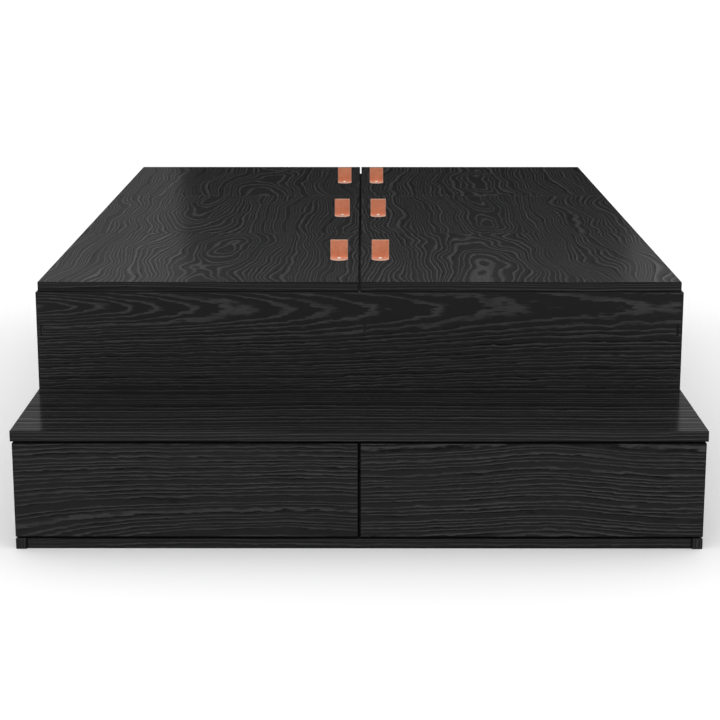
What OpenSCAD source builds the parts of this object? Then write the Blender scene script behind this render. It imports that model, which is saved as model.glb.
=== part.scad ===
// Platform bed with a storage step across its foot end.
// The platform is a box of boards in two bays. Six hinged lids close it and carry the mattress.
// The step in front of it holds two drawers side by side.
// X runs across the bed, +Y towards the head end, +Z up. The origin is on the floor, at the
// middle of the whole footprint.

/* [Platform] */
// Outer width of the platform
platform_w = 1412; // [1000:1:1800]
// Outer length of the platform, without the step
platform_l = 2012; // [1600:1:2420]
// Height of the platform's boards, up to the underside of the lids
platform_h = 462; // [380:1:560]
// Thickness of the carcass boards
board_t = 22; // [20:1:28]
// Thickness of the floor panels in the bays
floor_t = 12; // [8:1:18]
// Width and height of the battens under the floor panels
batten_s = 22; // [16:1:40]
// Chamfer along the edges of the boards
ease = 0.8; // [0.3:0.1:1.5]

/* [Lids] */
// Thickness of a lid
lid_t = 22; // [16:1:28]
// How far the lids stay back from the platform's outer faces
lid_inset = 4.5; // [3.6:0.1:7]
// Gap between the left and the right lids
centre_gap = 4.5; // [2:0.1:8]
// Gap between one lid and the next along the bed
lid_seam = 2.5; // [1.5:0.1:5]

/* [Hinges] */
// Length of a lid hinge
hinge_l = 60; // [40:1:100]
// Width of a hinge leaf, from the pin's axis
leaf_w = 15; // [12:0.5:17]
// Thickness of a hinge leaf
leaf_t = 1.5; // [1:0.1:2]
// Outer radius of the hinge knuckles
knuckle_r = 3; // [2.5:0.1:3]
// Radius of the hinge pin
hinge_pin_r = 1.5; // [1:0.1:1.8]
// Distance from a lid's end to the middle of its hinge
hinge_end = 110; // [60:1:200]

/* [Pull tabs] */
// Width of a leather tab
tab_w = 40; // [25:1:60]
// Thickness of the leather
tab_t = 3; // [2:0.1:4]
// Height of a tab above its lid
tab_h = 45; // [30:1:60]
// Length of the tab's foot, in front of its upright part
foot_l = 25; // [18:1:40]
// How far the foot's front end is rounded
foot_round = 14; // [6:1:18]
// Inner radius of the leather's bend
tab_bend = 4; // [2:0.5:6]
// Distance from the bed's centre line to the middle of a tab
tab_x = 48; // [34:1:200]
// Distance from a lid's front edge to the tip of the tab's foot
tab_set = 264; // [40:1:400]

/* [Step] */
// Width of the step's carcass and of its two drawer fronts together
step_w = 1400; // [1000:1:1800]
// Height of the step's carcass, under its top board
step_h = 228; // [190:1:300]
// Thickness of the step's top board
tread_t = 22; // [16:1:28]
// Depth of the tread, from its front edge to the riser
tread_d = 370; // [358:1:460]
// How far the top board overhangs the carcass at the front and the sides
tread_over = 3; // [0:0.5:20]
// How far the bottom board stays back from the drawer fronts
bottom_back = 4; // [0:0.5:20]

/* [Drawers] */
// Thickness of a drawer front
front_t = 22; // [16:1:28]
// Gap above, below and between the drawer fronts
front_gap = 4; // [2:0.5:6]
// Free travel behind the closed fronts, for the push-to-open runners
push_gap = 3; // [2.6:0.1:5]
// Thickness of the drawer's sides and back
box_t = 16; // [12:1:19]
// Height of the drawer's sides and back
box_h = 150; // [90:1:190]
// Depth of the drawer box behind its front
box_l = 305; // [250:1:312]
// Height of the drawer box above the step's bottom board
box_lift = 14; // [10:1:24]
// Thickness of the drawer's bottom panel
bottom_t = 6; // [4:0.5:10]
// Depth of the groove that holds the bottom panel
groove_d = 6; // [4:0.5:8]
// Height of the groove above the lower edge of the drawer's sides
groove_z = 10; // [8:1:20]

/* [Runners] */
// Space that a pair of runner members fills beside a drawer
runner_space = 12.7; // [12:0.1:16]
// Height of the fixed runner member
runner_h = 45; // [30:1:50]
// Length of a runner
runner_l = 300; // [240:1:300]
// Wall thickness of the runner members
runner_wall = 1.2; // [1:0.1:1.5]
// Space between the two members, where the balls run
ball_gap = 2.4; // [1.5:0.1:3]

/* [Joinery] */
// Radius of the wooden dowels
dowel_r = 4; // [3:0.5:5]
// Length of the wooden dowels
dowel_l = 30; // [26:1:36]
// Depth of a dowel in the board that it meets face on
dowel_in = 10; // [8:0.5:11]
// Distance of a dowel from the board's edge
dowel_edge = 36; // [30:1:50]
// Width of the tongues that show in the riser
tongue_w = 4.5; // [3:0.5:8]
// Height of the tongues
tongue_h = 22; // [15:1:40]
// Depth of the tongues in the boards behind the riser
tongue_in = 18; // [10:1:40]
// Distance from the riser's top edge to the top of the tongues
tongue_down = 74; // [30:1:120]
// Radius of the bolts that join the step to the platform
bolt_r = 3; // [2.5:0.5:4]
// Height of those bolts above the floor
bolt_z = 120; // [80:1:140]

/* [Hidden] */
$fn = 48;
slip = 0.3;            // clearance round pieces that pass each other
pin_clear = 0.05;      // radial running clearance on the hinge pins
knuckles = 5;          // knuckles in a hinge, fixed ones at both ends
tab_screw_r = 2;       // shank of a tab's screw
tab_screw_l = 18;      // length of that shank
tab_head_r = 4.5;      // head of a tab's screw
tab_head_h = 3.4;
tab_screw_y = 11;      // from the tip of the foot to the screw
bolt_head_r = 6;
bolt_head_h = 3;
nut_h = 5;
bolt_x = [-500, -200, 200, 500];
flange_l = 9.8;        // depth of the runners' flanges

whole_l = tread_d + platform_l;
tread_y = -whole_l / 2;                       // front edge of the step's top board
front_y = tread_y + tread_over;               // outer face of the drawer fronts
carcass_y = front_y + front_t + push_gap;     // front edges of the step's boards
riser_y = tread_y + tread_d;                  // front face of the riser
bay_y = riser_y + board_t;                    // inner face of the riser
head_y = whole_l / 2;                         // outer face of the rear board
bay_l = platform_l - 2 * board_t;
bay_w = platform_w / 2 - 2 * board_t;
floor_z = batten_s + floor_t;                 // top of the floor panels
tongue_z = platform_h - tongue_down - tongue_h;
lid_w = platform_w / 2 - lid_inset - centre_gap / 2;
lid_l = (platform_l - 2 * lid_inset - 2 * lid_seam) / 3;
hinge_x = platform_w / 2 - lid_inset;         // the lids turn about their lower outer edges
swing_r = knuckle_r + slip;                   // hollow round the knuckles
knuckle_l = hinge_l / knuckles;
deck_z = platform_h + lid_t;
opening_w = step_w / 2 - 1.5 * board_t;       // clear width for one drawer
box_w = opening_w - 2 * runner_space;
box_x = board_t / 2 + runner_space;           // side of the box nearest the centre line
box_y = front_y + front_t;                    // back of the drawer front
box_z = board_t + box_lift;
front_h = step_h - board_t - 2 * front_gap;
front_w = step_w / 2 - front_gap / 2;
runner_z = box_z + box_h / 2;

sides = ["left", "right"];
rows = ["front", "middle", "rear"];
lid_parts = ["lid", "tab", "tab_screw", "hinge_leaves"];
drawer_parts = ["front", "outer_side", "inner_side", "back", "bottom", "runners", "dowels"];
carcass_parts = [
    "step_top", "step_side_left", "step_side_right", "step_partition", "step_bottom", "step_back",
    "step_dowels", "fixed_runners", "joining_bolts", "riser", "riser_tongues",
    "platform_side_left", "platform_side_right", "centre_divider_left", "centre_divider_right",
    "rear_board", "cross_dividers_front", "cross_dividers_rear", "floor_panels", "floor_battens",
    "fixed_hinge_leaves", "hinge_pins"
];
function lid_node(part, s, r) = str(part, "_", sides[s], "_", rows[r]);
function drawer_node(part, s) = str("drawer_", sides[s], "_", part);

veneer = "#2c2c2e";
box_board = "#3a3733";
leather = "#be7355";
metal = "silver";
beech = "#c9a878";

// -- shared shapes --

module eased_outline(a, b) {
    polygon([
        [ease, 0], [a - ease, 0], [a, ease], [a, b - ease],
        [a - ease, b], [ease, b], [0, b - ease], [0, ease]
    ]);
}

// a board with a small chamfer along all its edges
module board(size) {
    intersection() {
        linear_extrude(size.z) eased_outline(size.x, size.y);
        translate([0, size.y, 0]) rotate([90, 0, 0]) linear_extrude(size.y) eased_outline(size.x, size.z);
        rotate([90, 0, 90]) linear_extrude(size.x) eased_outline(size.y, size.z);
    }
}

// shapes are drawn for the right half of the bed; s = 0 mirrors them to the left half
module on_side(s) {
    mirror([s == 0 ? 1 : 0, 0, 0]) children();
}

module dowel() {
    cylinder(r = dowel_r, h = dowel_l);
}

// -- lids and their hardware, drawn for the right half --

function lid_y(r) = riser_y + lid_inset + r * (lid_l + lid_seam);

// the two places along a lid where its hinges sit, with the axis at the local origin
module at_hinges(r) {
    for (y = [lid_y(r) + hinge_end, lid_y(r) + lid_l - hinge_end])
        translate([hinge_x, y, platform_h]) children();
}

// hollow for one leaf and the knuckles; up is 1 in the lid and -1 in the side board
module hinge_recess(up) {
    translate([-leaf_w, -hinge_l / 2, up > 0 ? -1 : -leaf_t]) cube([leaf_w, hinge_l, leaf_t + 1]);
    translate([0, -hinge_l / 2 - slip, 0])
        rotate([-90, 0, 0]) cylinder(r = swing_r, h = hinge_l + 2 * slip);
}

// one leaf with its share of the knuckles: first is 0 for the fixed leaf and 1 for the moving one
module hinge_leaf(first, up, bore_r) {
    plate_z = up > 0 ? 0 : -leaf_t;
    difference() {
        union() {
            translate([-leaf_w, -hinge_l / 2, plate_z]) cube([leaf_w - swing_r, hinge_l, leaf_t]);
            for (k = [first : 2 : knuckles - 1])
                translate([0, (k - knuckles / 2) * knuckle_l + slip / 2, 0]) {
                    rotate([-90, 0, 0]) cylinder(r = knuckle_r, h = knuckle_l - slip);
                    translate([-swing_r - 1, 0, plate_z]) cube([swing_r + 1, knuckle_l - slip, leaf_t]);
                }
        }
        translate([0, -hinge_l / 2 - 1, 0]) rotate([-90, 0, 0]) cylinder(r = bore_r, h = hinge_l + 2);
    }
}

module lid(s, r) {
    color(veneer) on_side(s) difference() {
        translate([centre_gap / 2, lid_y(r), platform_h]) board([lid_w, lid_l, lid_t]);
        at_hinges(r) hinge_recess(1);
        at_tab_screw(r) cylinder(r = tab_screw_r, h = tab_screw_l);
    }
}

// lower end of a tab screw's shank
module at_tab_screw(r) {
    translate([tab_x, lid_y(r) + tab_set + tab_screw_y, deck_z + tab_t - tab_screw_l]) children();
}

// side view of a tab: its foot lies to the left and its upright part stands at the right
module tab_profile() {
    bend_y = foot_l - tab_bend;
    bend_z = tab_t + tab_bend;
    square([bend_y, tab_t]);
    translate([foot_l, bend_z]) square([tab_t, tab_h - bend_z]);
    translate([bend_y, bend_z]) intersection() {
        difference() {
            circle(tab_bend + tab_t);
            circle(tab_bend);
        }
        translate([0, -bend_z]) square(bend_z);
    }
}

module tab(s, r) {
    tip_r = (pow(tab_w / 2, 2) + pow(foot_round, 2)) / (2 * foot_round);
    color(leather) on_side(s) difference() {
        translate([tab_x - tab_w / 2, lid_y(r) + tab_set, deck_z]) intersection() {
            rotate([90, 0, 90]) linear_extrude(tab_w) tab_profile();
            union() {
                translate([tab_w / 2, tip_r, 0]) cylinder(r = tip_r, h = tab_h, $fn = 96);
                translate([0, foot_round, 0]) cube([tab_w, foot_l + tab_t, tab_h]);
            }
        }
        at_tab_screw(r) cylinder(r = tab_screw_r, h = tab_screw_l + 1);
    }
}

module tab_screw(s, r) {
    dome_r = (pow(tab_head_r, 2) + pow(tab_head_h, 2)) / (2 * tab_head_h);
    color(metal) on_side(s) at_tab_screw(r) {
        cylinder(r = tab_screw_r, h = tab_screw_l);
        translate([0, 0, tab_screw_l]) intersection() {
            cylinder(r = tab_head_r, h = tab_head_h);
            translate([0, 0, tab_head_h - dome_r]) sphere(dome_r);
        }
    }
}

module hinge_leaves(s, r) {
    color(metal) on_side(s) at_hinges(r) hinge_leaf(1, 1, hinge_pin_r + pin_clear);
}

module fixed_hinge_leaves() {
    color(metal) for (s = [0, 1], r = [0 : 2]) on_side(s) at_hinges(r) hinge_leaf(0, -1, hinge_pin_r);
}

module hinge_pins() {
    color(metal) for (s = [0, 1], r = [0 : 2]) on_side(s) at_hinges(r)
        translate([0, -hinge_l / 2, 0]) rotate([-90, 0, 0]) cylinder(r = hinge_pin_r, h = hinge_l);
}

// -- platform --

module riser() {
    color(veneer) difference() {
        translate([-platform_w / 2, riser_y, 0]) board([platform_w, board_t, platform_h]);
        for (x = tongue_xs()) tongue_slot(x);
        for (x = bolt_x) joining_bolt_hole(x);
    }
}

// tongues sit in the middle of both side boards and of the right centre divider
function tongue_xs() = [board_t / 2 - platform_w / 2, board_t / 2, platform_w / 2 - board_t / 2];

module tongue_slot(x) {
    translate([x - tongue_w / 2 - slip, riser_y - 1, tongue_z - slip])
        cube([tongue_w + 2 * slip, board_t + 2, tongue_h + 2 * slip]);
}

module tongue(x) {
    translate([x - tongue_w / 2, riser_y, tongue_z]) cube([tongue_w, board_t + tongue_in, tongue_h]);
}

module riser_tongues() {
    color(veneer) for (x = tongue_xs()) tongue(x);
}

module upright_board(x) {
    translate([x, bay_y, 0]) board([board_t, bay_l, platform_h]);
}

module platform_side(s) {
    color(veneer) difference() {
        on_side(s) upright_board(platform_w / 2 - board_t);
        on_side(s) for (r = [0 : 2]) at_hinges(r) hinge_recess(-1);
        for (x = tongue_xs()) tongue(x);
    }
}

module centre_divider(s) {
    color(veneer) difference() {
        on_side(s) upright_board(0);
        for (x = tongue_xs()) tongue(x);
    }
}

module rear_board() {
    color(veneer) translate([-platform_w / 2, head_y - board_t, 0]) board([platform_w, board_t, platform_h]);
}

// a board in each bay, under the seam behind lid row r
module cross_dividers(r) {
    seam_y = lid_y(r) + lid_l + lid_seam / 2;
    color(veneer) for (s = [0, 1]) on_side(s)
        translate([board_t, seam_y - board_t / 2, floor_z]) board([bay_w, board_t, platform_h - floor_z]);
}

module floor_panels() {
    color(box_board) for (s = [0, 1]) on_side(s)
        translate([board_t, bay_y, batten_s]) cube([bay_w, bay_l, floor_t]);
}

module floor_battens() {
    color(beech) for (s = [0, 1], x = [board_t, board_t + bay_w - batten_s]) on_side(s)
        translate([x, bay_y, 0]) cube([batten_s, bay_l, batten_s]);
}

// -- step --

module step_top() {
    color(veneer) difference() {
        translate([-step_w / 2 - tread_over, tread_y, step_h])
            board([step_w + 2 * tread_over, tread_d, tread_t]);
        step_dowel_set();
    }
}

// the board's lower front end reaches forward under the drawer front
module step_side(s) {
    color(veneer) difference() {
        on_side(s) {
            translate([step_w / 2 - board_t, carcass_y, 0]) board([board_t, riser_y - carcass_y, step_h]);
            translate([step_w / 2 - board_t, front_y, 0])
                board([board_t, carcass_y - front_y + 2 * ease, board_t]);
        }
        step_dowel_set();
    }
}

module step_partition() {
    color(veneer) difference() {
        translate([-board_t / 2, carcass_y, board_t])
            board([board_t, riser_y - board_t - carcass_y, step_h - board_t]);
        step_dowel_set();
    }
}

module step_bottom() {
    depth = tread_d - tread_over - bottom_back;
    color(veneer) translate([board_t - step_w / 2, riser_y - depth, 0])
        board([step_w - 2 * board_t, depth, board_t]);
}

module step_back() {
    color(veneer) difference() {
        translate([board_t - step_w / 2, riser_y - board_t, board_t])
            board([step_w - 2 * board_t, board_t, step_h - board_t]);
        for (x = bolt_x) joining_bolt_hole(x);
    }
}

// upright dowels between the top board and the boards under it
module step_dowel_set() {
    for (x = [board_t / 2 - step_w / 2, 0, step_w / 2 - board_t / 2])
        for (y = [carcass_y + dowel_edge, riser_y - board_t - dowel_edge])
            translate([x, y, step_h + dowel_in - dowel_l]) dowel();
}

module step_dowels() {
    color(beech) step_dowel_set();
}

module joining_bolt_hole(x) {
    translate([x, riser_y - board_t - 1, bolt_z])
        rotate([-90, 0, 0]) cylinder(r = bolt_r, h = 2 * board_t + 2);
}

// bolts through the step's back and the riser, each with its nut inside the platform
module joining_bolts() {
    color(metal) for (x = bolt_x) translate([x, riser_y - board_t, bolt_z]) rotate([-90, 0, 0]) {
        cylinder(r = bolt_r, h = 2 * board_t + nut_h);
        translate([0, 0, -bolt_head_h]) cylinder(r = bolt_head_r, h = bolt_head_h);
        translate([0, 0, 2 * board_t]) difference() {
            cylinder(r = bolt_head_r, h = nut_h, $fn = 6);
            cylinder(r = bolt_r, h = 3 * nut_h, center = true);
        }
    }
}

// -- runners --

// channel open towards +X: a web at x = 0 and two flanges
module channel(depth, height, length) {
    translate([0, 0, -height / 2]) cube([runner_wall, length, height]);
    for (z = [-height / 2, height / 2 - runner_wall])
        translate([0, 0, z]) cube([depth, length, runner_wall]);
}

module fixed_runners() {
    color(metal) for (s = [0, 1]) on_side(s) {
        translate([board_t / 2, carcass_y, runner_z]) channel(flange_l, runner_h, runner_l);
        translate([board_t / 2 + opening_w, carcass_y, runner_z])
            mirror([1, 0, 0]) channel(flange_l, runner_h, runner_l);
    }
}

module drawer_runners(s) {
    inner_h = runner_h - 2 * (runner_wall + ball_gap);
    color(metal) on_side(s) {
        translate([box_x, carcass_y, runner_z]) mirror([1, 0, 0]) channel(flange_l, inner_h, runner_l);
        translate([box_x + box_w, carcass_y, runner_z]) channel(flange_l, inner_h, runner_l);
    }
}

// -- drawers, drawn for the right half --

module drawer_panel() {
    translate([box_x + box_t - groove_d, box_y - groove_d, box_z + groove_z])
        cube([box_w - 2 * (box_t - groove_d), box_l - box_t + 2 * groove_d, bottom_t]);
}

// dowels from the sides into the front, and from the sides into the back
module drawer_dowel_set() {
    for (z = [box_z + dowel_edge, box_z + box_h - dowel_edge])
        for (x = [box_x + box_t / 2, box_x + box_w - box_t / 2])
            translate([x, box_y - dowel_in, z]) rotate([-90, 0, 0]) dowel();
    for (z = [box_z + dowel_edge, box_z + box_h - dowel_edge]) {
        y = box_y + box_l - box_t / 2;
        translate([box_x + box_t - dowel_in, y, z]) rotate([0, 90, 0]) dowel();
        translate([box_x + box_w - box_t + dowel_in, y, z]) rotate([0, -90, 0]) dowel();
    }
}

module drawer_front(s) {
    color(veneer) on_side(s) difference() {
        translate([front_gap / 2, front_y, board_t + front_gap]) board([front_w, front_t, front_h]);
        drawer_panel();
        drawer_dowel_set();
    }
}

module drawer_side(s, x) {
    color(box_board) on_side(s) difference() {
        translate([x, box_y, box_z]) cube([box_t, box_l, box_h]);
        drawer_panel();
        drawer_dowel_set();
    }
}

module drawer_back(s) {
    color(box_board) on_side(s) difference() {
        translate([box_x + box_t, box_y + box_l - box_t, box_z]) cube([box_w - 2 * box_t, box_t, box_h]);
        drawer_panel();
        drawer_dowel_set();
    }
}

module drawer_bottom(s) {
    color(box_board) on_side(s) drawer_panel();
}

module drawer_dowels(s) {
    color(beech) on_side(s) drawer_dowel_set();
}

// -- nodes --

step_top();
step_side(0);  // step_side_left
step_side(1);  // step_side_right
step_partition();
step_bottom();
step_back();
step_dowels();
fixed_runners();
joining_bolts();
riser();
riser_tongues();
platform_side(0);  // platform_side_left
platform_side(1);  // platform_side_right
centre_divider(0);  // centre_divider_left
centre_divider(1);  // centre_divider_right
rear_board();
cross_dividers(0);  // cross_dividers_front
cross_dividers(1);  // cross_dividers_rear
floor_panels();
floor_battens();
fixed_hinge_leaves();
hinge_pins();
for (s = [0, 1], r = [0 : 2]) {
    lid(s, r);
    tab(s, r);
    tab_screw(s, r);
    hinge_leaves(s, r);
}
for (s = [0, 1]) {
    drawer_front(s);
    drawer_side(s, box_x + box_w - box_t);
    drawer_side(s, box_x);
    drawer_back(s);
    drawer_bottom(s);
    drawer_runners(s);
    drawer_dowels(s);
}
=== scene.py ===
import math

import bmesh
import bpy
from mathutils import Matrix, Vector


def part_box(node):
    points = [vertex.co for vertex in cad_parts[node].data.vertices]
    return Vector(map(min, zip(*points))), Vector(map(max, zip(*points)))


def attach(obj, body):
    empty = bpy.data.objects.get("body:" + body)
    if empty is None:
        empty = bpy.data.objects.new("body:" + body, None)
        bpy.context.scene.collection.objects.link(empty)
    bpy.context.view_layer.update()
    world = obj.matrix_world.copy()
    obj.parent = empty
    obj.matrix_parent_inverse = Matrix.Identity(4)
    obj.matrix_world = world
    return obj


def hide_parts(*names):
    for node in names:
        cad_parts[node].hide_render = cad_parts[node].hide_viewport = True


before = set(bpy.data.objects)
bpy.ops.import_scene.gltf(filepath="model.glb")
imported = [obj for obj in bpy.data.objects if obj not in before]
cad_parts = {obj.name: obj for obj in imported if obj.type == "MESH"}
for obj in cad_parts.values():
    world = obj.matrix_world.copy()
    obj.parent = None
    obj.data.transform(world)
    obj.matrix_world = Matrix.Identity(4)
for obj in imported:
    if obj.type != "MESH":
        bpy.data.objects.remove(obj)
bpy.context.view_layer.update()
sides = ("left", "right")
rows = ("front", "middle", "rear")
mm = 0.001


# small helpers for node trees

def addNode(tree, kind, inputs=None, **settings):
    made = tree.nodes.new(kind)
    for key, value in settings.items():
        setattr(made, key, value)
    for key, value in (inputs or {}).items():
        feed(tree, made.inputs[key], value)
    return made


def feed(tree, socket, value):
    if isinstance(value, bpy.types.NodeSocket):
        tree.links.new(value, socket)
    else:
        socket.default_value = value


def calc(tree, operation, *values, clamp=False):
    made = tree.nodes.new("ShaderNodeMath")
    made.operation = operation
    made.use_clamp = clamp
    for i, value in enumerate(values):
        feed(tree, made.inputs[i], value)
    return made.outputs[0]


def blendValues(tree, factor, a, b):
    made = tree.nodes.new("ShaderNodeMix")
    made.data_type = "FLOAT"
    feed(tree, made.inputs[0], factor)
    feed(tree, made.inputs[2], a)
    feed(tree, made.inputs[3], b)
    return made.outputs[0]


def blendColours(tree, factor, a, b, mode="MIX"):
    made = tree.nodes.new("ShaderNodeMix")
    made.data_type = "RGBA"
    made.blend_type = mode
    feed(tree, made.inputs[0], factor)
    feed(tree, made.inputs[6], a)
    feed(tree, made.inputs[7], b)
    return made.outputs[2]


def fade(tree, value, low, high, toLow=0.0, toHigh=1.0):
    made = tree.nodes.new("ShaderNodeMapRange")
    made.interpolation_type = "SMOOTHSTEP"
    for i, v in enumerate((value, low, high, toLow, toHigh)):
        feed(tree, made.inputs[i], v)
    return made.outputs[0]


def noise(tree, vector, scale, detail=2.0, rough=0.5):
    inputs = {"Vector": vector, "Scale": scale, "Detail": detail, "Roughness": rough}
    return addNode(tree, "ShaderNodeTexNoise", inputs).outputs[0]


def vectorOf(tree, x, y, z):
    return addNode(tree, "ShaderNodeCombineXYZ", {0: x, 1: y, 2: z}).outputs[0]


def splitVector(tree, vector):
    return addNode(tree, "ShaderNodeSeparateXYZ", {0: vector}).outputs


def startGroup(name, inputs, outputs):
    tree = bpy.data.node_groups.new(name, "ShaderNodeTree")
    for label, kind in inputs:
        tree.interface.new_socket(name=label, in_out="INPUT", socket_type="NodeSocket" + kind)
    for label, kind in outputs:
        tree.interface.new_socket(name=label, in_out="OUTPUT", socket_type="NodeSocket" + kind)
    return tree, tree.nodes.new("NodeGroupInput").outputs, tree.nodes.new("NodeGroupOutput").inputs


def useGroup(tree, group, **values):
    made = tree.nodes.new("ShaderNodeGroup")
    made.node_tree = group
    for key, value in values.items():
        feed(tree, made.inputs[key], value)
    return made.outputs


# effects that several materials share

def makeFaceGrain():
    # picks the directions across and along the grain for the face that is being shaded
    tree, given, out = startGroup(
        "faceGrain",
        [("point", "Vector"), ("normal", "Vector"),
         ("turnZ", "Float"), ("turnY", "Float"), ("turnX", "Float")],
        [("across", "Float"), ("along", "Float"), ("onX", "Float"), ("onY", "Float"), ("onZ", "Float")],
    )
    p = splitVector(tree, given["point"])
    n = splitVector(tree, given["normal"])
    facing = 0.72      # how squarely a face looks along an axis to count as that axis's face
    isZ = calc(tree, "GREATER_THAN", calc(tree, "ABSOLUTE", n[2]), facing)
    isY = calc(tree, "GREATER_THAN", calc(tree, "ABSOLUTE", n[1]), facing)
    alongZ = blendValues(tree, given["turnZ"], p[0], p[1])
    acrossZ = blendValues(tree, given["turnZ"], p[1], p[0])
    alongY = blendValues(tree, given["turnY"], p[0], p[2])
    acrossY = blendValues(tree, given["turnY"], p[2], p[0])
    alongX = blendValues(tree, given["turnX"], p[1], p[2])
    acrossX = blendValues(tree, given["turnX"], p[2], p[1])
    feed(tree, out["along"], blendValues(tree, isZ, blendValues(tree, isY, alongX, alongY), alongZ))
    feed(tree, out["across"], blendValues(tree, isZ, blendValues(tree, isY, acrossX, acrossY), acrossZ))
    feed(tree, out["onZ"], isZ)
    feed(tree, out["onY"], isY)
    feed(tree, out["onX"], calc(tree, "SUBTRACT", 1.0, calc(tree, "MAXIMUM", isZ, isY)))
    return tree


grainMarks = {      # how many of each mark in a metre, across and along the grain
    "streak": (420.0, 24.0),
    "coarse": (130.0, 30.0),
    "ripple": (34.0, 15.0),
    "patch": (60.0, 7.0),
    "pore": (1500.0, 110.0),
}


def makeOakFigure():
    # growth rings of a trunk cut lengthwise: rings bend round the pith and run out in long arches
    tree, given, out = startGroup(
        "oakFigure",
        [("across", "Float"), ("along", "Float"), ("pith", "Float"), ("depth", "Float"), ("slope", "Float"),
         ("curve", "Float"), ("ring", "Float"), ("warp", "Float"), ("warpSize", "Float"), ("hump", "Float"),
         ("humpAt", "Float"), ("ragged", "Float"), ("seed", "Float")],
        [("band", "Float"), ("line", "Float"), ("fleck", "Float"), ("shade", "Float")],
    )
    u, v, seed = given["across"], given["along"], given["seed"]

    def stretched(kind, detail, rough=0.5):
        across, along = grainMarks[kind]
        at = vectorOf(tree, calc(tree, "MULTIPLY", u, across), calc(tree, "MULTIPLY", v, along), seed)
        return noise(tree, at, 1.0, detail, rough)

    low = vectorOf(tree, u, calc(tree, "MULTIPLY", v, 0.45), seed)
    sway = calc(tree, "SUBTRACT", noise(tree, low, given["warpSize"], 2.0, 0.45), 0.5)
    driftAt = vectorOf(tree, calc(tree, "ADD", u, 7.3), v, seed)
    drift = calc(tree, "SUBTRACT", noise(tree, driftAt, 1.6, 1.0), 0.5)
    side = calc(tree, "MULTIPLY_ADD", drift, 0.03, calc(tree, "SUBTRACT", u, given["pith"]))
    humpHalf = 0.17      # half the length of a hump along the grain, in metres
    humpAway = calc(tree, "DIVIDE", calc(tree, "SUBTRACT", v, given["humpAt"]), humpHalf)
    humpFall = calc(tree, "POWER", calc(tree, "ABSOLUTE", humpAway), 2.0)
    humpShape = calc(tree, "EXPONENT", calc(tree, "MULTIPLY", humpFall, -1.0))
    side = calc(tree, "SUBTRACT", side, calc(tree, "MULTIPLY", humpShape, given["hump"]))
    deep = calc(tree, "MULTIPLY_ADD", calc(tree, "MULTIPLY", v, v), given["curve"],
                calc(tree, "MULTIPLY_ADD", v, given["slope"], given["depth"]))
    radius = calc(tree, "SQRT", calc(tree, "MULTIPLY_ADD", side, side, calc(tree, "MULTIPLY", deep, deep)))
    radius = calc(tree, "MULTIPLY_ADD", sway, given["warp"], radius)
    rings = calc(tree, "DIVIDE", radius, given["ring"])
    uneven = noise(tree, vectorOf(tree, rings, seed, 0.0), 0.37, 1.0)
    rings = calc(tree, "MULTIPLY_ADD", uneven, 3.0, rings)
    # fine streaks along the grain make the edges of the rings ragged, and slower ones make them ripple
    streak = calc(tree, "SUBTRACT", stretched("streak", 2.0, 0.6), 0.5)
    coarse = calc(tree, "SUBTRACT", stretched("coarse", 2.0, 0.6), 0.5)
    ripple = calc(tree, "SUBTRACT", stretched("ripple", 2.0, 0.5), 0.5)
    slower = calc(tree, "MULTIPLY_ADD", coarse, 0.5, calc(tree, "MULTIPLY", ripple, 0.7))
    jag = calc(tree, "MULTIPLY_ADD", streak, 0.5, slower)
    phase = calc(tree, "FRACT", calc(tree, "MULTIPLY_ADD", jag, given["ragged"], rings))
    # pale early wood starts sharply at each ring and dies away; a thin dark line of late wood ends the ring
    band = calc(tree, "MULTIPLY", fade(tree, phase, 0.0, 0.09), fade(tree, phase, 0.18, 0.46, 1.0, 0.0))
    patchy = stretched("patch", 2.0)
    feed(tree, out["band"], calc(tree, "MULTIPLY", band, fade(tree, patchy, 0.25, 0.6, 0.55, 1.0)))
    late = calc(tree, "MULTIPLY", fade(tree, phase, 0.68, 0.88), fade(tree, phase, 0.95, 1.0, 1.0, 0.0))
    late = calc(tree, "MULTIPLY", late, fade(tree, calc(tree, "ABSOLUTE", side), 0.03, 0.075))
    feed(tree, out["line"], calc(tree, "MULTIPLY", late, fade(tree, patchy, 0.35, 0.6)))
    feed(tree, out["fleck"], fade(tree, stretched("pore", 1.0), 0.54, 0.70))
    shadeAt = vectorOf(tree, calc(tree, "MULTIPLY", u, 9.0), v, seed)
    feed(tree, out["shade"], noise(tree, shadeAt, 1.5, 2.0))
    return tree


def makeBoardEdge():
    # distance from the nearest edge of a box-shaped board: the middle one of three distances
    tree, given, out = startGroup(
        "boardEdge", [("point", "Vector"), ("low", "Vector"), ("high", "Vector")], [("distance", "Float")]
    )
    p, lo, hi = (splitVector(tree, given[k]) for k in ("point", "low", "high"))
    gaps = []
    for i in range(3):
        fromLow = calc(tree, "SUBTRACT", p[i], lo[i])
        fromHigh = calc(tree, "SUBTRACT", hi[i], p[i])
        gaps.append(calc(tree, "ABSOLUTE", calc(tree, "MINIMUM", fromLow, fromHigh)))
    smaller = calc(tree, "MINIMUM", gaps[0], gaps[1])
    larger = calc(tree, "MAXIMUM", gaps[0], gaps[1])
    feed(tree, out["distance"], calc(tree, "MAXIMUM", smaller, calc(tree, "MINIMUM", larger, gaps[2])))
    return tree


def makeHandling():
    # faint cloudy smears left by cleaning and handling
    tree, given, out = startGroup("handling", [("point", "Vector"), ("seed", "Float")], [("smear", "Float")])
    offset = vectorOf(tree, given["seed"], 0.0, 0.0)
    shifted = addNode(tree, "ShaderNodeVectorMath", {0: given["point"], 1: offset}).outputs[0]
    feed(tree, out["smear"], fade(tree, noise(tree, shifted, 5.0, 4.0, 0.6), 0.35, 0.7))
    return tree


faceGrain = makeFaceGrain()
oakFigure = makeOakFigure()
boardEdge = makeBoardEdge()
handling = makeHandling()
print("shared effects ready")


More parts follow.
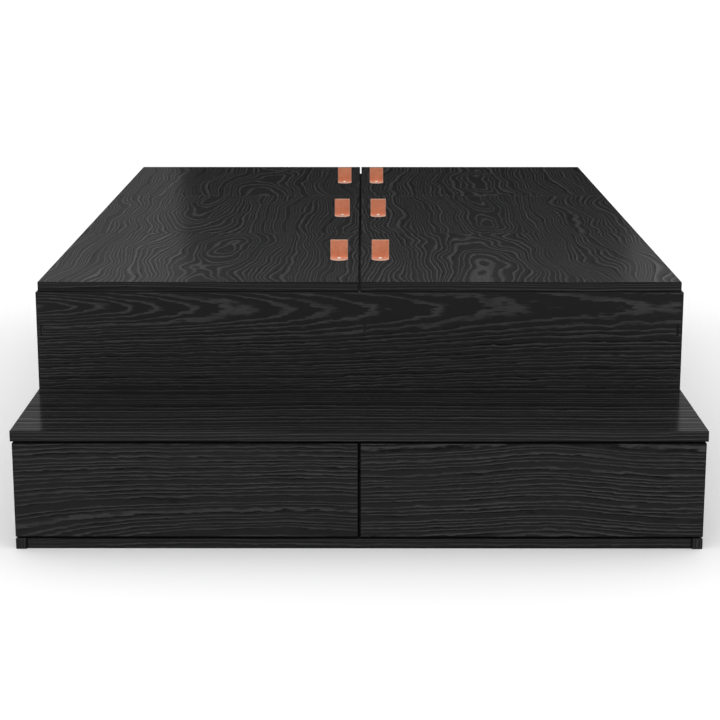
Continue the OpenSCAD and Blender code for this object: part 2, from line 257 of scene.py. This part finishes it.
def startMaterial(name):
    made = bpy.data.materials.new(name)
    made.use_nodes = True
    tree = made.node_tree
    shader = tree.nodes["Principled BSDF"]
    coords = tree.nodes.new("ShaderNodeTexCoord").outputs
    return made, tree, shader, coords


oakFinish = {
    "base": (0.0152, 0.0152, 0.0158, 1),      # stained oak
    "pale": (0.040, 0.040, 0.0408, 1),        # early wood, where the open pores have kept less stain
    "late": (0.0070, 0.0070, 0.0074, 1),      # late wood
    "edge": (0.004, 0.004, 0.0042, 1),        # painted shade: a dark line along the board's edges, standing in for the shade where boards meet
    "edgeWidth": 1.8 * mm,
    "edgeRing": 6 * mm,                       # straight lines of the edge bands
    "rough": 0.45,
    "gloss": 0.0,                             # the bare wood mirrors nothing: all its shine is the lacquer's
    "film": 0.55,                             # lacquer: thicker on the early wood, thin in the late wood
    "filmRough": 0.155,
    "bump": 0.06 * mm,
    "bumpStrength": 0.2,
}


def oakMaterial(name, low, high, turn=(0, 0, 0), pith=0.0, depth=0.05, slope=0.0, curve=0.0, ring=9 * mm,
                warp=0.01, warpSize=2.5, hump=0.0, humpAt=0.0, ragged=1.0, seed=0.0,
                pale=1.0, base=1.0, film=1.0):
    made, tree, shader, coords = startMaterial(name)
    grain = useGroup(tree, faceGrain, point=coords["Object"], normal=coords["Normal"],
                     turnZ=turn[0], turnY=turn[1], turnX=turn[2])
    size = [high[i] - low[i] for i in range(3)]
    face = grain[("onX", "onY", "onZ")[size.index(min(size))]]      # 1 on the board's two wide faces
    figure = useGroup(tree, oakFigure, across=grain["across"], along=grain["along"], pith=pith, depth=depth,
                      slope=calc(tree, "MULTIPLY", face, slope), curve=calc(tree, "MULTIPLY", face, curve),
                      ring=blendValues(tree, face, oakFinish["edgeRing"], ring),
                      warp=blendValues(tree, face, 0.004, warp), warpSize=warpSize,
                      hump=calc(tree, "MULTIPLY", face, hump), humpAt=humpAt, ragged=ragged, seed=seed)
    edge = useGroup(tree, boardEdge, point=coords["Object"], low=low, high=high)
    hand = useGroup(tree, handling, point=coords["Object"], seed=seed)
    cloudy = fade(tree, figure["shade"], 0.3, 0.7, 0.75 * pale, pale)
    paleness = calc(tree, "MULTIPLY", figure["band"], cloudy)
    paleness = calc(tree, "MULTIPLY_ADD", figure["fleck"], -0.12, paleness)
    # painted shade: the wide faces take the stain colours times base, so a base below 1 colours them darker
    # than the board's edges to offset the light they catch
    plain = blendColours(tree, face, oakFinish["base"], [c * base for c in oakFinish["base"]])
    wood = blendColours(tree, paleness, plain, oakFinish["pale"])
    lateness = calc(tree, "MULTIPLY", figure["line"], blendValues(tree, face, 0.4, 1.0))      # faint on edges
    wood = blendColours(tree, lateness, wood, [c * base for c in oakFinish["late"]])
    # painted shade: the face darkens to the edge colour within edgeWidth of the board's edges
    edgeWidth = oakFinish["edgeWidth"]
    edgeShadeMask = fade(tree, edge["distance"], edgeWidth * 0.5, edgeWidth, 1.0, 0.0)
    feed(tree, shader.inputs["Base Color"], blendColours(tree, edgeShadeMask, wood, oakFinish["edge"]))
    rough = calc(tree, "MULTIPLY_ADD", figure["line"], 0.10, oakFinish["rough"])
    rough = calc(tree, "MULTIPLY_ADD", hand["smear"], -0.03, rough)
    feed(tree, shader.inputs["Roughness"], rough)
    shader.inputs["Specular IOR Level"].default_value = oakFinish["gloss"]
    lacquer = calc(tree, "MULTIPLY_ADD", paleness, 0.22, oakFinish["film"] * film)
    lacquer = calc(tree, "MULTIPLY_ADD", figure["line"], -0.15, lacquer, clamp=True)
    feed(tree, shader.inputs["Coat Weight"], lacquer)
    shader.inputs["Coat Roughness"].default_value = oakFinish["filmRough"]
    height = calc(tree, "MULTIPLY_ADD", figure["line"], -0.25, calc(tree, "MULTIPLY", figure["fleck"], -0.5))
    bump = addNode(tree, "ShaderNodeBump", {
        "Height": height, "Distance": oakFinish["bump"], "Strength": oakFinish["bumpStrength"],
    })
    feed(tree, shader.inputs["Normal"], bump.outputs[0])
    return made


def laminateMaterial(name, colour, seed):
    # matt printed board inside the drawers and bays, with a faint linen weave
    made, tree, shader, coords = startMaterial(name)
    p = splitVector(tree, coords["Object"])
    threads = 4200.0      # radians of weave in a metre, a thread every 1.5 mm
    warpThreads = calc(tree, "SINE", calc(tree, "MULTIPLY", calc(tree, "ADD", p[0], p[2]), threads))
    weftThreads = calc(tree, "SINE", calc(tree, "MULTIPLY", calc(tree, "ADD", p[1], p[2]), threads))
    weave = calc(tree, "MULTIPLY_ADD", calc(tree, "MULTIPLY", warpThreads, weftThreads), 0.5, 0.5)
    hand = useGroup(tree, handling, point=coords["Object"], seed=seed)
    lighter = tuple(min(1.0, c * 1.6) for c in colour[:3]) + (1,)
    mixed = blendColours(tree, calc(tree, "MULTIPLY", weave, 0.5), colour, lighter)
    mixed = blendColours(tree, calc(tree, "MULTIPLY", hand["smear"], 0.25), mixed, lighter)
    feed(tree, shader.inputs["Base Color"], mixed)
    feed(tree, shader.inputs["Roughness"], calc(tree, "MULTIPLY_ADD", hand["smear"], -0.08, 0.62))
    bump = addNode(tree, "ShaderNodeBump", {"Height": weave, "Distance": 0.05 * mm, "Strength": 0.5})
    feed(tree, shader.inputs["Normal"], bump.outputs[0])
    shader.inputs["Specular IOR Level"].default_value = 0.3
    return made


beechFinish = {
    "pale": (0.62, 0.43, 0.24, 1),
    "warm": (0.52, 0.33, 0.17, 1),
    "fleck": (0.36, 0.2, 0.09, 1),
}


def beechMaterial():
    made, tree, shader, coords = startMaterial("rawBeech")
    p = splitVector(tree, coords["Object"])
    stretched = [calc(tree, "MULTIPLY", p[i], scale) for i, scale in enumerate((900.0, 120.0, 900.0))]
    flecks = noise(tree, vectorOf(tree, *stretched), 1.0, 2.0)
    tone = noise(tree, coords["Object"], 14.0, 3.0)
    wood = blendColours(tree, fade(tree, tone, 0.3, 0.7), beechFinish["warm"], beechFinish["pale"])
    wood = blendColours(tree, fade(tree, flecks, 0.58, 0.72, 0.0, 0.6), wood, beechFinish["fleck"])
    feed(tree, shader.inputs["Base Color"], wood)
    feed(tree, shader.inputs["Roughness"], fade(tree, flecks, 0.3, 0.8, 0.5, 0.7))
    bump = addNode(tree, "ShaderNodeBump", {"Height": flecks, "Distance": 0.1 * mm, "Strength": 0.4})
    feed(tree, shader.inputs["Normal"], bump.outputs[0])
    return made


def metalMaterial(name, colour, rough, scratch, metallic=1.0):
    made, tree, shader, coords = startMaterial(name)
    p = splitVector(tree, coords["Object"])
    stretched = [calc(tree, "MULTIPLY", p[i], scale) for i, scale in enumerate((2600.0, 60.0, 2600.0))]
    brushed = noise(tree, vectorOf(tree, *stretched), 1.0, 2.0)
    clouds = noise(tree, coords["Object"], 60.0, 3.0)
    darker = tuple(c * 0.72 for c in colour[:3]) + (1,)
    feed(tree, shader.inputs["Base Color"], blendColours(tree, fade(tree, clouds, 0.35, 0.7), colour, darker))
    feed(tree, shader.inputs["Roughness"], calc(tree, "MULTIPLY_ADD", brushed, scratch, rough))
    shader.inputs["Metallic"].default_value = metallic
    bump = addNode(tree, "ShaderNodeBump", {"Height": brushed, "Distance": 0.02 * mm, "Strength": 0.3})
    feed(tree, shader.inputs["Normal"], bump.outputs[0])
    return made


leatherFinish = {
    "face": (0.70, 0.245, 0.130, 1),
    "deep": (0.59, 0.185, 0.092, 1),
    "cut": (0.86, 0.56, 0.44, 1),
}


def leatherMaterial():
    # the piece's own "cut" attribute is 1 along its raw edges and 0 on the grain side
    made, tree, shader, coords = startMaterial("tanLeather")
    cells = addNode(tree, "ShaderNodeTexVoronoi", {"Vector": coords["Object"], "Scale": 1300.0},
                    feature="DISTANCE_TO_EDGE")
    grain = fade(tree, cells.outputs[0], 0.0, 0.25)
    pores = noise(tree, coords["Object"], 2600.0, 2.0)
    clouds = noise(tree, coords["Object"], 75.0, 4.0, 0.6)
    fibres = noise(tree, coords["Object"], 1900.0, 3.0, 0.7)
    cut = addNode(tree, "ShaderNodeAttribute", attribute_name="cut").outputs["Fac"]
    face = blendColours(tree, fade(tree, clouds, 0.3, 0.72), leatherFinish["face"], leatherFinish["deep"])
    face = blendColours(tree, fade(tree, grain, 0.0, 0.7, 0.35, 0.0), face, leatherFinish["deep"])
    fuzz = fade(tree, fibres, 0.35, 0.7, 0.0, 0.45)
    raw = blendColours(tree, fuzz, leatherFinish["cut"], leatherFinish["face"])
    feed(tree, shader.inputs["Base Color"], blendColours(tree, fade(tree, cut, 0.35, 0.8), face, raw))
    skinRough = fade(tree, clouds, 0.2, 0.8, 0.44, 0.58)
    feed(tree, shader.inputs["Roughness"], calc(tree, "MULTIPLY_ADD", cut, 0.2, skinRough))
    height = calc(tree, "ADD", calc(tree, "MULTIPLY", grain, 0.6), calc(tree, "MULTIPLY", pores, 0.4))
    bump = addNode(tree, "ShaderNodeBump", {"Height": height, "Distance": 0.12 * mm, "Strength": 0.5})
    feed(tree, shader.inputs["Normal"], bump.outputs[0])
    shader.inputs["Sheen Weight"].default_value = 0.12
    shader.inputs["Sheen Roughness"].default_value = 0.4
    shader.inputs["Specular IOR Level"].default_value = 0.4
    return made


def corners(node):
    low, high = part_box(node)
    return tuple(low), tuple(high)


def dress(node, material):
    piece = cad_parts[node]
    if not piece.material_slots:
        piece.data.materials.append(material)
    for held in piece.material_slots:
        held.material = material


deckTurn = (1, 0, 0)      # grain of the lids runs along the bed
wideTurn = (0, 0, 0)      # grain runs across the bed
faceTurn = (0, 0, 1)      # as wideTurn, with the board's ends upright
sideTurn = (1, 1, 0)      # boards along the bed, their front edges upright

lidFigures = {
    "left_front": {"pith": -0.34, "depth": 0.10, "slope": 0.05, "warp": 0.19, "warpSize": 4.6, "seed": 3.1},
    "left_middle": {
        "pith": -0.42, "depth": 0.08, "slope": -0.06, "warp": 0.17, "warpSize": 4.4, "seed": 11.4,
    },
    "left_rear": {"pith": -0.27, "depth": 0.04, "slope": 0.07, "warp": 0.14, "warpSize": 4.4, "seed": 17.9},
    "right_front": {"pith": 0.29, "depth": 0.10, "slope": 0.06, "warp": 0.18, "warpSize": 4.6, "seed": 23.3},
    "right_middle": {
        "pith": 0.33, "depth": 0.09, "slope": -0.05, "warp": 0.17, "warpSize": 4.8, "seed": 31.7,
    },
    "right_rear": {"pith": 0.36, "depth": 0.06, "slope": 0.05, "warp": 0.15, "warpSize": 4.4, "seed": 41.2},
}
# base below 1 paints shade: the lids' wide faces are coloured darker than their edges to offset the light
# they catch
lidLook = {"ring": 9.5 * mm, "ragged": 0.35, "pale": 1.1, "base": 0.54}
for place, figure in lidFigures.items():
    low, high = (Vector(c) for c in corners("lid_" + place))
    low.y -= 0 if place.endswith("front") else 0.1      # the painted edge shade is left off the lids' joints across the bed
    high.y += 0 if place.endswith("rear") else 0.1
    dress("lid_" + place, oakMaterial("oakLid_" + place, low, high, deckTurn, **lidLook, **figure))

faceFigures = {
    "riser": (faceTurn, {
        "pith": 0.428, "depth": 0.065, "slope": 0.061, "curve": -0.035, "ring": 7 * mm,
        "warp": 0.012, "warpSize": 3.2, "seed": 5.2, "pale": 1.15, "film": 1.12, "ragged": 1.15,
    }),
    "drawer_left_front": (faceTurn, {
        "pith": -0.01, "depth": 0.03, "slope": 0.15, "warp": 0.02, "seed": 9.7,
    }),
    "drawer_right_front": (faceTurn, {
        "pith": -0.08, "depth": 0.03, "slope": -0.02, "warp": 0.035, "hump": 0.022, "humpAt": 0.39,
        "seed": 13.5, "pale": 1.15, "film": 1.12,
    }),
    # the tread's base of 0.66 paints shade: its wide faces are coloured darker than its front edge
    "step_top": (wideTurn, {
        "pith": -0.6, "depth": 0.05, "slope": 0.03, "ring": 24 * mm, "warp": 0.04, "seed": 19.1,
        "ragged": 0.5, "pale": 0.9, "base": 0.66, "film": 0.6,
    }),
    "step_bottom": (wideTurn, {"pith": -0.3, "slope": 0.02, "seed": 2.6}),
    "rear_board": (faceTurn, {"pith": 0.2, "depth": 0.04, "slope": 0.05, "warp": 0.015, "seed": 27.0}),
    "step_back": (faceTurn, {"pith": 0.4, "slope": 0.03, "seed": 29.0}),
    "cross_dividers_front": (faceTurn, {"pith": 0.3, "slope": 0.05, "seed": 33.0}),
    "cross_dividers_rear": (faceTurn, {"pith": 0.2, "depth": 0.04, "slope": -0.05, "seed": 37.0}),
    "step_side_left": (sideTurn, {"pith": 0.1, "depth": 0.03, "slope": 0.1, "seed": 43.0}),
    "step_side_right": (sideTurn, {"pith": 0.1, "depth": 0.03, "slope": 0.1, "seed": 47.0}),
    "step_partition": (sideTurn, {"pith": 0.1, "depth": 0.03, "slope": 0.1, "seed": 49.0}),
    "platform_side_left": (sideTurn, {"pith": 0.28, "slope": 0.055, "warp": 0.02, "seed": 53.0}),
    "platform_side_right": (sideTurn, {"pith": 0.2, "slope": -0.05, "warp": 0.02, "seed": 59.0}),
    "centre_divider_left": (sideTurn, {"pith": 0.3, "slope": 0.05, "seed": 61.0}),
    "centre_divider_right": (sideTurn, {"pith": 0.3, "slope": 0.05, "seed": 67.0}),
    "riser_tongues": (sideTurn, {"pith": 0.3, "seed": 71.0}),
}
for node, (turn, figure) in faceFigures.items():
    low, high = corners(node)
    dress(node, oakMaterial("oak_" + node, low, high, turn, **figure))
print("oak boards dressed")

darkBoard = laminateMaterial("darkLaminate", (0.030, 0.029, 0.028, 1), 1.0)
rawBeech = beechMaterial()
zincSteel = metalMaterial("zincSteel", (0.60, 0.61, 0.63, 1), 0.28, 0.16)
blackSteel = metalMaterial("blackSteel", (0.022, 0.022, 0.023, 1), 0.34, 0.12, metallic=0.0)
screwSteel = metalMaterial("screwSteel", (1.0, 0.84, 0.72, 1), 0.3, 0.1, metallic=0.4)
tanLeather = leatherMaterial()

for side in sides:
    for part in ("outer_side", "inner_side", "back", "bottom"):
        dress(f"drawer_{side}_{part}", darkBoard)
    dress(f"drawer_{side}_runners", zincSteel)
    dress(f"drawer_{side}_dowels", rawBeech)
    for row in rows:
        dress(f"hinge_leaves_{side}_{row}", blackSteel)
        dress(f"tab_screw_{side}_{row}", screwSteel)
        dress(f"tab_{side}_{row}", tanLeather)
for node, material in {
    "floor_panels": darkBoard, "floor_battens": rawBeech, "step_dowels": rawBeech, "fixed_runners": zincSteel,
    "joining_bolts": zincSteel, "fixed_hinge_leaves": blackSteel, "hinge_pins": blackSteel,
}.items():
    dress(node, material)
print("other finishes ready")


tabShape = {
    "thick": 2.8 * mm,
    "bendRadius": 4.0 * mm,      # inner radius where the strap turns up
    "tipRound": 14.0 * mm,       # how far the foot's tip is rounded
    "edgeRound": 0.7 * mm,
    "bow": 1.1 * mm,             # how far the upright part bows out at mid height
    "cup": 0.5 * mm,             # how far the upright part is cupped across its width
    "stepsAcross": 14,
    "stepsAlong": 46,
}


def finishMesh(name, mesh, material, smooth=True):
    for polygon in mesh.polygons:
        polygon.use_smooth = smooth
    mesh.materials.append(material)
    made = bpy.data.objects.new(name, mesh)
    bpy.context.collection.objects.link(made)
    return made


def bendStrap(flat, start, thick, radius):
    # carries a point of the flat strap (x across, y along, z off the face) round the bend
    turnLength = (radius + thick) * math.pi / 2
    y = flat.y - start
    if y <= 0:
        return Vector((flat.x, flat.y, flat.z))
    if y <= turnLength:
        angle = y / (radius + thick)
        reach = radius + thick - flat.z
        return Vector((flat.x, start + reach * math.sin(angle), radius + thick - reach * math.cos(angle)))
    rise = y - turnLength
    return Vector((flat.x, start + radius + thick - flat.z, radius + thick + rise))


def makeTab(place):
    low, high = (Vector(c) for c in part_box("tab_" + place))
    width, depth, tall = high - low
    thick, radius = tabShape["thick"], tabShape["bendRadius"]
    start = depth - radius - thick
    flatLength = start + (radius + thick) * math.pi / 2 + (tall - radius - thick)
    bm = bmesh.new()
    bmesh.ops.create_grid(bm, x_segments=tabShape["stepsAcross"], y_segments=tabShape["stepsAlong"], size=0.5)
    bmesh.ops.scale(bm, vec=(width, flatLength, 1), verts=bm.verts)
    bmesh.ops.translate(bm, vec=(0, flatLength / 2, 0), verts=bm.verts)
    sag = tabShape["tipRound"]
    tipRadius = (width ** 2 / 4 + sag ** 2) / (2 * sag)
    for v in bm.verts:      # rounds the tip by pulling its corners back along the arc
        tip = tipRadius - math.sqrt(tipRadius ** 2 - v.co.x ** 2)
        v.co.y = tip + v.co.y * (flatLength - tip) / flatLength
    extruded = bmesh.ops.extrude_face_region(bm, geom=bm.faces[:])
    top = [g for g in extruded["geom"] if isinstance(g, bmesh.types.BMVert)]
    bmesh.ops.translate(bm, vec=(0, 0, thick), verts=top)
    bmesh.ops.recalc_face_normals(bm, faces=bm.faces)
    rim = [e for e in bm.edges if len(e.link_faces) == 2 and e.calc_face_angle(0) > 1.0]
    bmesh.ops.bevel(bm, geom=rim, offset=tabShape["edgeRound"], affect="EDGES", segments=2, profile=0.5,
                    material=-1)
    cutLayer = bm.verts.layers.float.new("cut")
    for v in bm.verts:
        away = sum((f.normal for f in v.link_faces), Vector())
        away.normalize()
        v[cutLayer] = min(1.0, 1.25 * math.hypot(away.x, away.y))
    for v in bm.verts:
        up = max(0.0, (v.co.y - start) / (flatLength - start))      # 0 at the bend, 1 at the top
        across = math.sin(math.pi * (v.co.x / width + 0.5))
        v.co = bendStrap(v.co, start, thick, radius)
        v.co.y -= tabShape["bow"] * math.sin(math.pi * up) ** 2 + tabShape["cup"] * across * up
    bmesh.ops.translate(bm, vec=((low.x + high.x) / 2, low.y, low.z), verts=bm.verts)
    mesh = bpy.data.meshes.new("pullTab_" + place)
    bm.to_mesh(mesh)
    bm.free()
    tab = finishMesh("pullTab_" + place, mesh, tanLeather)
    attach(tab, "lid_" + place)
    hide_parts("tab_" + place)
    tab.visible_glossy = False


for side in sides:
    for row in rows:
        makeTab(f"{side}_{row}")
print("leather tabs ready")


screwShape = {
    "headHeight": 3.4 * mm,
    "socket": 2.2 * mm,          # radius of the socket
    "socketDeep": 1.3 * mm,
    "shank": 1.6 * mm,
    "threadPitch": 1.4 * mm,
    "threadDeep": 0.35 * mm,
}


def turnedPiece(name, profile, centre, steps=36):
    # spins (radius, height) points about an upright line
    bm = bmesh.new()
    points = [bm.verts.new((r, 0, z)) for r, z in profile]
    edges = [bm.edges.new(pair) for pair in zip(points, points[1:])]
    bmesh.ops.spin(bm, geom=points + edges, cent=(0, 0, 0), axis=(0, 0, 1), angle=2 * math.pi,
                   steps=steps, use_merge=True)
    bmesh.ops.remove_doubles(bm, verts=bm.verts, dist=1e-6)
    bmesh.ops.recalc_face_normals(bm, faces=bm.faces)
    bmesh.ops.translate(bm, vec=centre, verts=bm.verts)
    mesh = bpy.data.meshes.new(name)
    bm.to_mesh(mesh)
    bm.free()
    return mesh


def makeScrew(place):
    low, high = (Vector(c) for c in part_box("tab_screw_" + place))
    radius = (high.x - low.x) / 2
    top = high.z
    seat = top - screwShape["headHeight"]
    socket, socketFloor = screwShape["socket"], top - screwShape["socketDeep"]
    brim = socket + 0.3 * mm      # the socket's mouth is a little wider than the socket
    rim = seat + 0.4 * mm         # lower end of the dome
    profile = [(0, socketFloor), (socket * 0.86, socketFloor), (socket, top - 0.15 * mm), (brim, top)]
    for i in range(1, 7):
        a = i / 6 * math.pi / 2
        profile.append((brim + (radius - brim) * math.sin(a), rim + (top - rim) * math.cos(a)))
    profile += [(radius, seat + 0.1 * mm), (radius - 0.2 * mm, seat), (screwShape["shank"], seat)]
    pitch, shank = screwShape["threadPitch"], screwShape["shank"]
    z = seat - 1.0 * mm
    while z > low.z + 2 * pitch:
        profile += [(shank, z), (shank - screwShape["threadDeep"], z - pitch / 2)]
        z -= pitch
    profile.append((0, low.z))
    mesh = turnedPiece("tabScrew_" + place, profile, ((low.x + high.x) / 2, (low.y + high.y) / 2, 0))
    screw = finishMesh("tabScrew_" + place, mesh, screwSteel)
    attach(screw, "lid_" + place)
    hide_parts("tab_screw_" + place)
    screw.visible_glossy = False


for side in sides:
    for row in rows:
        makeScrew(f"{side}_{row}")
print("tab screws ready")


studio = {
    "floorColour": (0.94, 0.94, 0.94, 1),
    "floorShade": (0.92, 0.92, 0.92, 1),
    "allRound": 1.38,            # soft light from every side
    "seen": 1.25,                # the backdrop above the horizon, plain white
    "mirroredDarkTo": 0.170,     # what the boards mirror: dark below this height in the sky,
    "mirroredFullFrom": 0.31,    # brightest from this height up,
    "mirroredLevel": 0.80,       # this bright,
    "mirroredOverhead": 0.3,     # and this much brighter straight overhead
}


def makeFloor():
    bm = bmesh.new()
    bmesh.ops.create_circle(bm, cap_ends=True, segments=96, radius=80.0)
    mesh = bpy.data.meshes.new("studioFloor")
    bm.to_mesh(mesh)
    bm.free()
    material, tree, shader, coords = startMaterial("paleFloor")
    tone = noise(tree, coords["Object"], 0.7, 2.0)
    pale = blendColours(tree, fade(tree, tone, 0.2, 0.8), studio["floorColour"], studio["floorShade"])
    feed(tree, shader.inputs["Base Color"], pale)
    shader.inputs["Roughness"].default_value = 0.9
    shader.inputs["Specular IOR Level"].default_value = 0.0
    floor = finishMesh("studioFloor", mesh, material, smooth=False)
    floor.visible_glossy = False


def makeWorld():
    world = bpy.data.worlds.new("studioWorld")
    bpy.context.scene.world = world
    world.use_nodes = True
    tree = world.node_tree
    tree.nodes.clear()
    direction = tree.nodes.new("ShaderNodeTexCoord").outputs["Generated"]
    up = splitVector(tree, direction)[2]
    rising = addNode(tree, "ShaderNodeMapRange", {
        0: up, 1: studio["mirroredDarkTo"], 2: studio["mirroredFullFrom"], 3: 0.0, 4: studio["mirroredLevel"],
    }).outputs[0]
    gloss = calc(tree, "ADD", rising, fade(tree, up, 0.55, 0.95, 0.0, studio["mirroredOverhead"]))
    rays = tree.nodes.new("ShaderNodeLightPath").outputs
    strength = blendValues(tree, rays["Is Glossy Ray"], studio["allRound"], gloss)
    strength = blendValues(tree, rays["Is Camera Ray"], strength, studio["seen"])
    light = addNode(tree, "ShaderNodeBackground", {"Strength": strength})
    addNode(tree, "ShaderNodeOutputWorld", {0: light.outputs[0]})


softboxes = {      # power in watts; mirrored: whether the boards show its reflection
    "leftRearBox": {
        "place": (-3.45, 9.5, 2.9), "aim": (-1.2, 0.3, 0.48), "width": 4.2, "height": 4.4, "power": 8.0,
        "mirrored": True,
    },
    "rightRearBox": {
        "place": (4.1, 9.5, 3.8), "aim": (1.2, 0.3, 0.48), "width": 4.2, "height": 4.0, "power": 10.0,
        "mirrored": True,
    },
    "frontBox": {
        "place": (-0.8, -8.0, 3.2), "aim": (0.2, -1.0, 0.3), "width": 4.0, "height": 3.0, "power": 102.0,
        "mirrored": False,
    },
}


def makeSoftbox(name, place, aim, width, height, power, mirrored):
    data = bpy.data.lights.new(name, "AREA")
    data.shape = "RECTANGLE"
    data.size, data.size_y = width, height
    data.energy = power
    light = bpy.data.objects.new(name, data)
    bpy.context.collection.objects.link(light)
    light.location = place
    light.rotation_euler = (Vector(aim) - Vector(place)).to_track_quat("-Z", "Y").to_euler()
    light.visible_camera = False
    light.visible_glossy = mirrored


cameraSetup = {
    "place": (0.008, -4.785, 1.2325),
    "pitch": 13.09,      # degrees below level
    "yaw": 0.1,          # degrees to the left
    "lens": 92.7,        # focal length and sensor width, in millimetres
    "sensor": 36,
}


def makeCamera():
    data = bpy.data.cameras.new("studioCamera")
    data.lens = cameraSetup["lens"]
    data.sensor_width = cameraSetup["sensor"]
    camera = bpy.data.objects.new("studioCamera", data)
    bpy.context.collection.objects.link(camera)
    camera.location = cameraSetup["place"]
    camera.rotation_euler = (math.radians(90 - cameraSetup["pitch"]), 0, math.radians(cameraSetup["yaw"]))
    bpy.context.scene.camera = camera


makeFloor()
makeWorld()
for name, values in softboxes.items():
    makeSoftbox(name, **values)
makeCamera()
bpy.context.scene.view_settings.view_transform = "Standard"
print("floor, light and camera ready")
